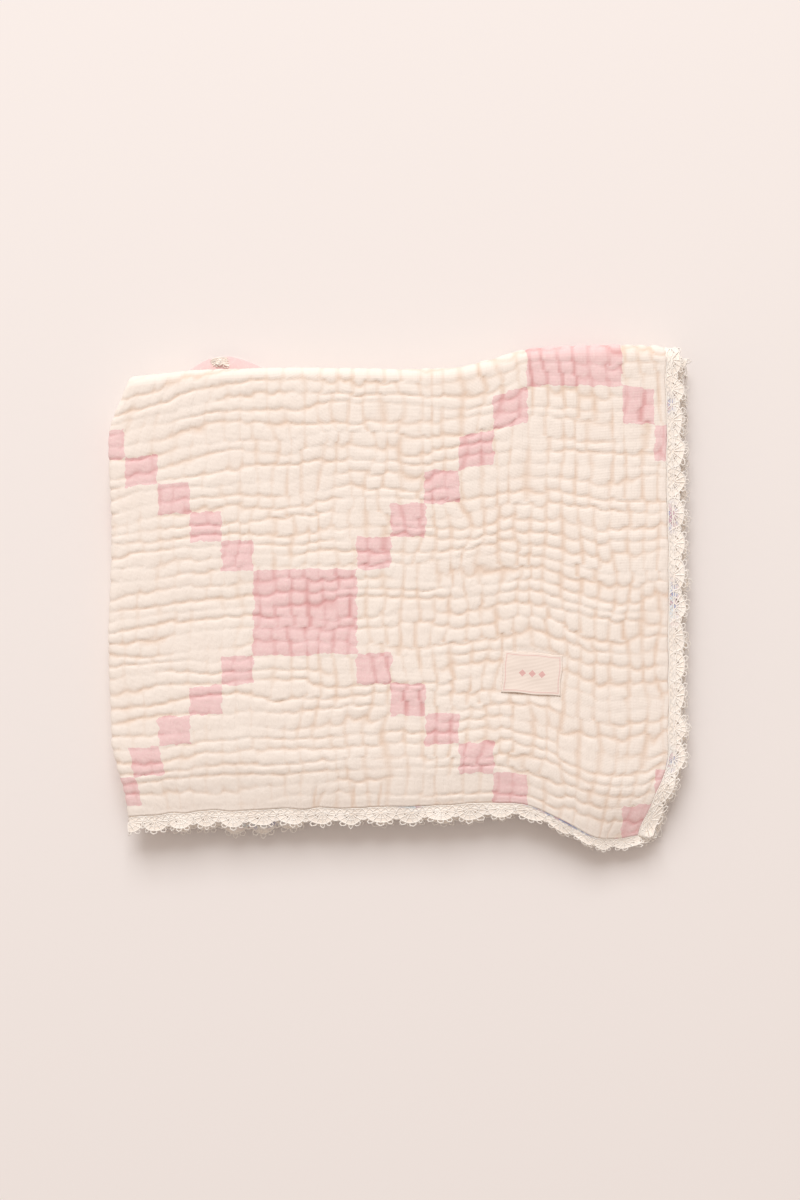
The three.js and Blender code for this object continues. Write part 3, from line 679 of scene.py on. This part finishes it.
def lace_trim():
    obj, hem_number = straight_lace()
    mesh = obj.data
    points = read_points(mesh)
    ground = np.isclose(points[:, 2], GROUND_LIFT)
    start_s, start_v, along_s, along_v, out_s, out_v, length = np.array(HEMS, dtype=float)[hem_number].T
    lengths_before = np.cumsum([0] + [hem[-1] for hem in HEMS[:-1]])
    total = points[:, 0] + lengths_before[hem_number]
    out = points[:, 1] * (LACE_WIDTH - LACE_START) / SCALLOP_DEPTH + LACE_START
    reach = np.clip(out / LACE_WIDTH, 0, 1.1)
    along, out = gather(points[:, 0], out, reach, total, length)
    frill = frilled(hem_number, reach, total)
    fine = 0.7 * (uneven(total / 2.2, out / 2.2, 14) - 0.5) * ease(0, 3, out)
    seated = LACE_SEAT * ease(-0.8, 1.3, out)

    # At the peek past the far fold the lace is tucked under, and one bit of it turned back over
    far_x = np.abs(start_s + along) + LEFT_AXIS
    tucked = (hem_number == FAR_HEM) * ease(0, 0.15, swell(-128, 60, far_x))
    turned_back = tucked * swell(-131, 19, far_x) * (start_s + along > 0)
    inwards = 0.4 * tucked + 0.35 * turned_back * uneven(total / 4, 8.8, 17)
    out = out * (1 - tucked) - inwards * np.maximum(out, 0)
    s = start_s + along_s * along + out_s * out
    v = start_v + along_v * along + out_v * out
    height = (seated + frill + fine) * (1 - tucked) - 1.7 * tucked + (5.0 + frill) * turned_back

    # The lace of the top panel curls up against its hang, and nothing sinks into the floor
    middle = place(s, v, height)
    relief = place(s, v, height + points[:, 2]) - middle
    near_curl = NEAR_CURL * (v < 0) * np.where(s > 0, 1, 0.4)
    side_curl = SIDE_CURL * (s > HALF_WIDTH)
    curl = (near_curl + side_curl) * reach ** 1.1 * (v < TOP_THIRD)
    middle[:, 2] = np.maximum(middle[:, 2] + curl * MM, (2 * STRAND_RADIUS + 0.2) * MM)
    x = middle[:, 0] / MM
    drawn_out = NEAR_DRAWN_OUT * (1 - ease(40, 140, x)) + slip_at(x, LOWER_LACE_SLIPS) * (s < 0)
    middle[:, 1] -= drawn_out * (v < 0) * reach * MM
    write_points(mesh, middle + relief)
    write_flat_map(mesh, total, out)
    edging, glimpsed = printed_peeks(s, v, out)
    write_value(mesh, "print", np.maximum(edging, glimpsed * ground))
    write_value(mesh, "ground", ground * 1.0)
    mesh.materials.append(lace_material())
    return finish_piece(obj, ["lace_trim"])


# The label

def woven_label():
    across = [(-LABEL_WIDTH / 2, 0), (LABEL_WIDTH / 2, 52)]
    along = [(-LABEL_HEIGHT / 2, 0), (LABEL_HEIGHT / 2, 37)]
    bm, back = stepped_grid(across, along)
    obj = new_object("stitched_tape_label", bm)
    mesh = obj.data
    a, b = back(read_points(mesh))
    s, v = label_point(a * (1 + 0.014 * np.sin(b / 2.9)), b * (1 + 0.022 * np.sin(a / 4.1 + 1)))
    lifted = 0.12 * (1 - ease(-LABEL_HEIGHT / 2, -LABEL_HEIGHT / 2 + 5, b))
    corner = ease(0.5, 1, np.abs(a) / LABEL_WIDTH * 2) * ease(0.4, 1, np.abs(b) / LABEL_HEIGHT * 2)
    bow = 0.5 * (uneven(a / 9 + 20, b / 6 + 20, 2) - 0.5) + 0.25 * np.sin(a / 5.1 + b / 7)
    seat = FRONT_OUTER + PRESSED_PUFF + PIECE_GAP + 0.42
    write_points(mesh, place(s, v, seat + lifted + bow - 0.35 * corner))
    write_flat_map(mesh, a, b)
    mesh.materials.append(label_material())
    thickness = obj.modifiers.new("thickness", "SOLIDIFY")
    thickness.thickness = LABEL_CLOTH * MM
    thickness.offset = -1
    return finish_piece(obj, ["woven_label"])


# Materials

def shade(hex_colour):
    """An sRGB hex colour as linear light."""
    values = [int(hex_colour[k:k + 2], 16) / 255 for k in (1, 3, 5)]
    linear = [c / 12.92 if c <= 0.04045 else ((c + 0.055) / 1.055) ** 2.4 for c in values]
    return (*linear, 1.0)


def set_sockets(tree, node, sockets):
    """Sets a node's inputs, each to a value or to the output that feeds it."""
    for key, value in (sockets.items() if isinstance(sockets, dict) else enumerate(sockets)):
        if isinstance(value, bpy.types.NodeSocket):
            tree.links.new(value, node.inputs[key])
        else:
            node.inputs[key].default_value = value


def add_node(tree, kind, sockets=(), output=0, **settings):
    """Adds one node with its settings and links, and gives one of its outputs."""
    node = tree.nodes.new(kind)
    for name, setting in settings.items():
        setattr(node, name, setting)
    set_sockets(tree, node, sockets)
    return node.outputs[output]


def new_material(name):
    """A new material, its node tree and its shader."""
    material = bpy.data.materials.new(name)
    material.use_nodes = True
    return material, material.node_tree, material.node_tree.nodes["Principled BSDF"]


def woven_squares(tree, u, v):
    """1 in the pink squares: two chains of squares that cross in blocks of three by three."""
    lines = []
    for along in (u, v):
        squares = add_node(tree, "ShaderNodeMath", (along, SQUARE * MM), operation="DIVIDE")
        whole = add_node(tree, "ShaderNodeMath", (squares,), operation="FLOOR")
        lines.append(add_node(tree, "ShaderNodeMath", (whole, SQUARES_BEFORE), operation="SUBTRACT"))
    shares = []
    for crossing, start in (("SUBTRACT", 0.0), ("ADD", BLOCK_SQUARES - 1.0)):
        step = add_node(tree, "ShaderNodeMath", lines, operation=crossing)
        within = add_node(tree, "ShaderNodeMath", (step, REPEAT_SQUARES), operation="FLOORED_MODULO")
        shares.append(add_node(tree, "ShaderNodeMath", (within, start, 0.5), operation="COMPARE"))
    for start in (0, REPEAT_SQUARES / 2):
        sides = []
        for line in lines:
            step = add_node(tree, "ShaderNodeMath", (line, start), operation="SUBTRACT")
            within = add_node(tree, "ShaderNodeMath", (step, REPEAT_SQUARES), operation="FLOORED_MODULO")
            sides.append(add_node(tree, "ShaderNodeMath", (within, BLOCK_SQUARES - 0.5),
                                  operation="LESS_THAN"))
        shares.append(add_node(tree, "ShaderNodeMath", sides, operation="MULTIPLY"))
    total = shares[0]
    for share in shares[1:]:
        total = add_node(tree, "ShaderNodeMath", (total, share), operation="MAXIMUM")
    return total


def gauze_material():
    # Crinkled cotton gauze, several open layers woven together in cells: quite matt, with its loose
    # threads just showing. Painted shade: the colour turns a warm tan down in the creases, on the cream
    # and on the pink alike. The pink squares are dyed weft over a cream warp, so they are mottled and
    # their edges are soft. Threads of 0.6 mm would be too fine to see, so they are drawn about 1.2 mm apart.
    material, tree, shader = new_material("crinkled_cotton_gauze")
    flat = add_node(tree, "ShaderNodeUVMap", uv_map="flat")
    edge_wobble = 7.5 * MM
    wobble = add_node(tree, "ShaderNodeTexNoise", {"Vector": flat, "Scale": 130.0, "Detail": 3.0}, "Color")
    moved = add_node(tree, "ShaderNodeVectorMath", (wobble, (edge_wobble, edge_wobble, 0),
                                                    (-edge_wobble / 2, -edge_wobble / 2, 0)),
                     operation="MULTIPLY_ADD")
    shifted = add_node(tree, "ShaderNodeVectorMath", (flat, moved), operation="ADD")
    parts = add_node(tree, "ShaderNodeSeparateXYZ", (shifted,)).node.outputs
    pink = woven_squares(tree, parts[0], parts[1])
    # painted shade: the crease depth darkens the colour below
    crease = add_node(tree, "ShaderNodeAttribute", output="Fac", attribute_name="crease")
    deep = add_node(tree, "ShaderNodeMapRange", (crease, 0.35, 1.0))
    patches = add_node(tree, "ShaderNodeTexNoise",
                       {"Vector": flat, "Scale": 26.0, "Detail": 5.0, "Roughness": 0.6})
    mottle = add_node(tree, "ShaderNodeTexNoise",
                      {"Vector": flat, "Scale": 420.0, "Detail": 3.0, "Roughness": 0.7})
    cream = add_node(tree, "ShaderNodeMix", {0: patches, 6: shade("#FBF1E7"), 7: shade("#F7E9DD")}, 2,
                     data_type="RGBA")
    # painted shade: the cream turns warm tan down in the creases
    cream = add_node(tree, "ShaderNodeMix", {0: deep, 6: cream, 7: shade("#E9CFBA")}, 2,
                     data_type="RGBA")
    rose = add_node(tree, "ShaderNodeMix", {0: patches, 6: shade("#F6D6D4"), 7: shade("#F1CAC8")}, 2,
                    data_type="RGBA")
    faded = add_node(tree, "ShaderNodeMapRange", {0: mottle, 1: 0.5, 2: 0.75, 4: 0.55})
    rose = add_node(tree, "ShaderNodeMix", {0: faded, 6: rose, 7: shade("#F8E4DC")}, 2, data_type="RGBA")
    # painted shade: the pink turns darker down in the creases
    rose = add_node(tree, "ShaderNodeMix", {0: deep, 6: rose, 7: shade("#DB9F9C")}, 2, data_type="RGBA")
    colour = add_node(tree, "ShaderNodeMix", {0: pink, 6: cream, 7: rose}, 2, data_type="RGBA")
    thread = {"Vector": flat, "Distortion": 1.5, "Detail": 2.0, "Detail Scale": 3.0}
    weft = add_node(tree, "ShaderNodeTexWave", {**thread, "Scale": 270.0}, "Fac", bands_direction="X")
    warp = add_node(tree, "ShaderNodeTexWave", {**thread, "Scale": 300.0}, "Fac", bands_direction="Y")
    threads = add_node(tree, "ShaderNodeMath", (weft, warp), operation="ADD")
    fuzz = add_node(tree, "ShaderNodeTexNoise", {"Vector": flat, "Scale": 900.0, "Detail": 3.0})
    relief = add_node(tree, "ShaderNodeMath", (threads, 0.5, fuzz), operation="MULTIPLY_ADD")
    woven = add_node(tree, "ShaderNodeBump", {"Strength": 0.3, "Distance": 0.5 * MM, "Height": relief})
    drawn = add_node(tree, "ShaderNodeMapping", {"Vector": flat, "Scale": (330.0, 120.0, 1.0)})
    puckers = add_node(tree, "ShaderNodeTexNoise",
                       {"Vector": drawn, "Scale": 1.0, "Detail": 3.0, "Roughness": 0.6})
    puckered = add_node(tree, "ShaderNodeBump",
                        {"Strength": 0.5, "Distance": 1.1 * MM, "Height": puckers, "Normal": woven})
    set_sockets(tree, shader, {"Base Color": colour, "Normal": puckered, "Roughness": 0.95,
                               "Specular IOR Level": 0.15, "Sheen Weight": 0.2, "Sheen Roughness": 0.6})
    return material


def backing_material():
    # Thin printed muslin: a pale ground with small flowers in blue, violet and orange and green
    # leaves, screen printed, so the colours are flat and soft at their edges.
    material, tree, shader = new_material("printed_cotton_muslin")
    flat = add_node(tree, "ShaderNodeUVMap", uv_map="flat")
    flowers = add_node(tree, "ShaderNodeTexVoronoi",
                       {"Vector": flat, "Scale": 105.0, "Randomness": 0.75}).node.outputs
    leaves = add_node(tree, "ShaderNodeTexVoronoi",
                      {"Vector": flat, "Scale": 170.0, "Randomness": 0.9}, "Distance")
    tint = add_node(tree, "ShaderNodeSeparateColor", (flowers["Color"],))
    petals = add_node(tree, "ShaderNodeValToRGB", (tint,))
    ramp = petals.node.color_ramp
    ramp.interpolation = "CONSTANT"
    ramp.elements[0].color = shade("#8E9CC6")
    ramp.elements[1].position = 0.45
    ramp.elements[1].color = shade("#A99BC7")
    for position, colour in ((0.68, "#DD9472"), (0.84, "#D8888A")):
        ramp.elements.new(position).color = shade(colour)
    petal = add_node(tree, "ShaderNodeMath", (flowers["Distance"], 0.34), operation="LESS_THAN")
    centre = add_node(tree, "ShaderNodeMath", (flowers["Distance"], 0.11), operation="LESS_THAN")
    leaf = add_node(tree, "ShaderNodeMath", (leaves, 0.2), operation="LESS_THAN")
    printed = add_node(tree, "ShaderNodeMix", {0: leaf, 6: shade("#E9EBF0"), 7: shade("#B4C39A")}, 2,
                       data_type="RGBA")
    printed = add_node(tree, "ShaderNodeMix", {0: petal, 6: printed, 7: petals}, 2, data_type="RGBA")
    printed = add_node(tree, "ShaderNodeMix", {0: centre, 6: printed, 7: shade("#F2DFA8")}, 2,
                       data_type="RGBA")
    threads = add_node(tree, "ShaderNodeTexNoise", {"Vector": flat, "Scale": 700.0, "Detail": 2.0})
    woven = add_node(tree, "ShaderNodeBump", {"Strength": 0.3, "Distance": 0.4 * MM, "Height": threads})
    set_sockets(tree, shader, {"Base Color": printed, "Normal": woven, "Roughness": 0.95,
                               "Specular IOR Level": 0.15})
    return material


def lace_material():
    # Crocheted cream cotton: matt twisted thread over a closely worked ground that is a little
    # darker, with the blue and violet print of the backing glimpsed at the seam
    material, tree, shader = new_material("crocheted_cotton_lace")
    flat = add_node(tree, "ShaderNodeUVMap", uv_map="flat")
    patches = add_node(tree, "ShaderNodeTexNoise", {"Vector": flat, "Scale": 120.0, "Detail": 4.0})
    ground = add_node(tree, "ShaderNodeAttribute", output="Fac", attribute_name="ground")
    showing = add_node(tree, "ShaderNodeAttribute", output="Fac", attribute_name="print")
    thread = add_node(tree, "ShaderNodeMix", {0: patches, 6: shade("#FFFBF5"), 7: shade("#FFF4E9")}, 2,
                      data_type="RGBA")
    worked = add_node(tree, "ShaderNodeMix", {0: patches, 6: shade("#FFF9F1"), 7: shade("#FCEDDE")}, 2,
                      data_type="RGBA")
    colour = add_node(tree, "ShaderNodeMix", {0: ground, 6: thread, 7: worked}, 2, data_type="RGBA")
    flowers = add_node(tree, "ShaderNodeTexVoronoi",
                       {"Vector": flat, "Scale": 260.0, "Randomness": 0.9}, "Color")
    hue = add_node(tree, "ShaderNodeSeparateColor", (flowers,))
    violet = add_node(tree, "ShaderNodeMath", (hue, 0.72), operation="GREATER_THAN")
    pale = add_node(tree, "ShaderNodeMath", (hue, 0.4), operation="LESS_THAN")
    printed = add_node(tree, "ShaderNodeMix", {0: violet, 6: shade("#8C97C4"), 7: shade("#C9A6B4")}, 2,
                       data_type="RGBA")
    printed = add_node(tree, "ShaderNodeMix", {0: pale, 6: printed, 7: shade("#DCE6EC")}, 2,
                       data_type="RGBA")
    share = add_node(tree, "ShaderNodeMath", (showing, 0.9), operation="MULTIPLY")
    colour = add_node(tree, "ShaderNodeMix", {0: share, 6: colour, 7: printed}, 2, data_type="RGBA")
    twist = add_node(tree, "ShaderNodeTexWave", {"Vector": flat, "Scale": 300.0, "Distortion": 3.0,
                                                 "Detail": 2.0}, "Fac", bands_direction="DIAGONAL")
    twisted = add_node(tree, "ShaderNodeBump", {"Strength": 0.4, "Distance": 0.12 * MM, "Height": twist})
    set_sockets(tree, shader, {"Base Color": colour, "Normal": twisted, "Roughness": 0.9,
                               "Specular IOR Level": 0.2, "Sheen Weight": 0.3})
    return material


def label_material():
    # Woven cotton tape: fine even weave, a thin pale pink border and three small diamonds
    material, tree, shader = new_material("woven_cotton_tape")
    flat = add_node(tree, "ShaderNodeUVMap", uv_map="flat")
    parts = add_node(tree, "ShaderNodeSeparateXYZ", (flat,)).node.outputs
    across = add_node(tree, "ShaderNodeMath", (parts[0],), operation="ABSOLUTE")
    along = add_node(tree, "ShaderNodeMath", (parts[1],), operation="ABSOLUTE")
    side = add_node(tree, "ShaderNodeMath", (LABEL_WIDTH / 2 * MM, across), operation="SUBTRACT")
    end = add_node(tree, "ShaderNodeMath", (LABEL_HEIGHT / 2 * MM, along), operation="SUBTRACT")
    nearest = add_node(tree, "ShaderNodeMath", (side, end), operation="MINIMUM")
    border = add_node(tree, "ShaderNodeMath", (nearest, BORDER_INSET * MM, BORDER_HALF * MM),
                      operation="COMPARE")
    half_pitch = DIAMOND_PITCH / 2 * MM
    moved = add_node(tree, "ShaderNodeMath", (parts[0], half_pitch), operation="ADD")
    spaced = add_node(tree, "ShaderNodeMath", (moved, half_pitch), operation="PINGPONG")
    aside = add_node(tree, "ShaderNodeMath", (half_pitch, spaced), operation="SUBTRACT")
    reach = add_node(tree, "ShaderNodeMath", (aside, along), operation="ADD")
    diamond = add_node(tree, "ShaderNodeMath", (reach, DIAMOND_HALF * MM), operation="LESS_THAN")
    within = add_node(tree, "ShaderNodeMath", (across, 3 * half_pitch), operation="LESS_THAN")
    diamonds = add_node(tree, "ShaderNodeMath", (diamond, within), operation="MULTIPLY")
    faint = add_node(tree, "ShaderNodeMath", (border, 0.42), operation="MULTIPLY")
    clear = add_node(tree, "ShaderNodeMath", (diamonds, 0.8), operation="MULTIPLY")
    pink = add_node(tree, "ShaderNodeMath", (faint, clear), operation="MAXIMUM")
    colour = add_node(tree, "ShaderNodeMix", {0: pink, 6: shade("#F7E8DC"), 7: shade("#E6AFAB")}, 2,
                      data_type="RGBA")
    rows = add_node(tree, "ShaderNodeTexWave", {"Vector": flat, "Scale": 320.0, "Distortion": 0.6}, "Fac",
                    bands_direction="Y")
    woven = add_node(tree, "ShaderNodeBump", {"Strength": 0.4, "Distance": 0.3 * MM, "Height": rows})
    set_sockets(tree, shader, {"Base Color": colour, "Normal": woven, "Roughness": 0.85,
                               "Specular IOR Level": 0.25})
    return material


def floor_material():
    # A plain pale matt board
    material, tree, shader = new_material("pale_floor")
    set_sockets(tree, shader, {"Base Color": shade("#F3ECE8"), "Roughness": 0.95,
                               "Specular IOR Level": 0.1})
    return material


# Camera, light and floor

def add_camera():
    data = bpy.data.cameras.new("camera")
    data.lens = LENS
    data.sensor_width = SENSOR
    data.sensor_fit = "AUTO"
    camera = bpy.data.objects.new("camera", data)
    view_x = (PHOTO_WIDTH / 2 - MIDDLE_PIXEL[0]) * PIXEL + CENTRE_X
    view_y = (MIDDLE_PIXEL[1] - PHOTO_HEIGHT / 2) * PIXEL + CENTRE_Y
    distance = PHOTO_HEIGHT * PIXEL * LENS / SENSOR
    camera.location = (view_x * MM, view_y * MM, (TOP_SURFACE + distance) * MM)
    bpy.context.scene.collection.objects.link(camera)
    bpy.context.scene.camera = camera


def add_light(name, location, size, power, colour):
    data = bpy.data.lights.new(name, "AREA")
    data.shape = "SQUARE"
    data.size = size
    data.energy = power
    data.color = shade(colour)[:3]
    light = bpy.data.objects.new(name, data)
    light.location = location
    light.rotation_euler = (-Vector(location)).to_track_quat("-Z", "Y").to_euler()
    bpy.context.scene.collection.objects.link(light)


def add_studio():
    bm = bmesh.new()
    bmesh.ops.create_grid(bm, x_segments=1, y_segments=1, size=4.0)
    floor = new_object("floor", bm, smooth=False)
    floor.data.materials.append(floor_material())
    world = bpy.data.worlds.new("studio")
    world.use_nodes = True
    background = world.node_tree.nodes["Background"]
    background.inputs["Color"].default_value = shade("#FFF2E9")
    background.inputs["Strength"].default_value = 0.56
    bpy.context.scene.world = world
    add_light("window", location=(-0.6, 4.4, 3.9), size=3.4, power=270.0, colour="#F8FBFF")
    scene = bpy.context.scene
    scene.view_settings.view_transform = "Standard"
    scene.view_settings.look = "None"


add_camera()
add_studio()
front = front_gauze()
backing = printed_backing()
lace = lace_trim()
label = woven_label()
